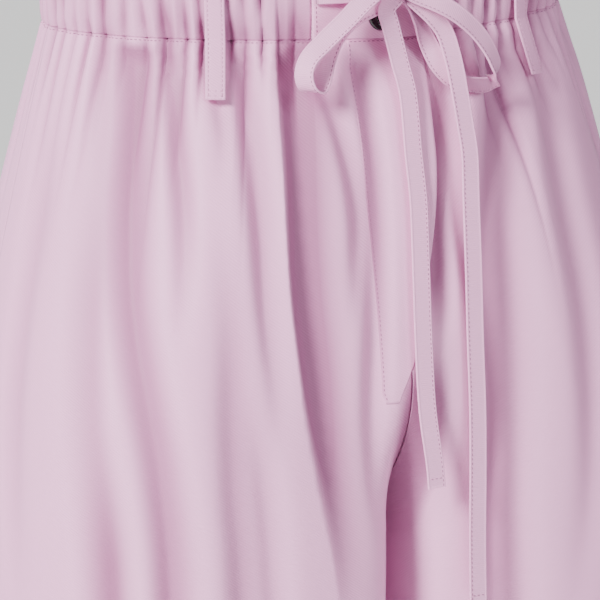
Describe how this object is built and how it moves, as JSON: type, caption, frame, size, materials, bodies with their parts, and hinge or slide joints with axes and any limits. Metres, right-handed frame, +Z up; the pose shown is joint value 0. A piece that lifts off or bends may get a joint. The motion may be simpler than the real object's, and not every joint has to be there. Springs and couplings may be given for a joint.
{
  "type": "drawstring trousers",
  "caption": "Wide straight-leg drawstring trousers in worn shape, with a gathered elastic waistband, a fly, a button, belt loops and a tied flat drawstring.",
  "frame": {"origin": "centre of the wearer's waist at the level of the waistband seam at the side", "axes": "+Z up, -Y the way the wearer faces, +X to the wearer's left"},
  "size_m": [0.438, 0.2491, 1.0624],
  "materials": {
    "twill": "soft lilac viscose twill with a low sheen",
    "tape": "flat lilac self-fabric tape, edge stitched",
    "button": "glossy black"
  },
  "bodies": {
    "root": {"front_right": "twill", "front_left": "twill", "back_right": "twill", "back_left": "twill", "waistband_elastic_right": "twill", "waistband_elastic_left": "twill", "waistband_front_right": "twill", "waistband_front_left": "twill", "fly": "twill", "belt_loop_front_right": "twill", "belt_loop_front_left": "twill", "belt_loop_back_right": "twill", "belt_loop_back_left": "twill", "belt_loop_back_middle": "twill", "drawstring_strand_right": "tape", "drawstring_strand_left": "tape", "drawstring_loop_right": "tape", "drawstring_loop_left": "tape", "drawstring_short_end": "tape", "drawstring_long_end": "tape", "drawstring_knot": "tape", "button": "button"}
  },
  "joints": []
}
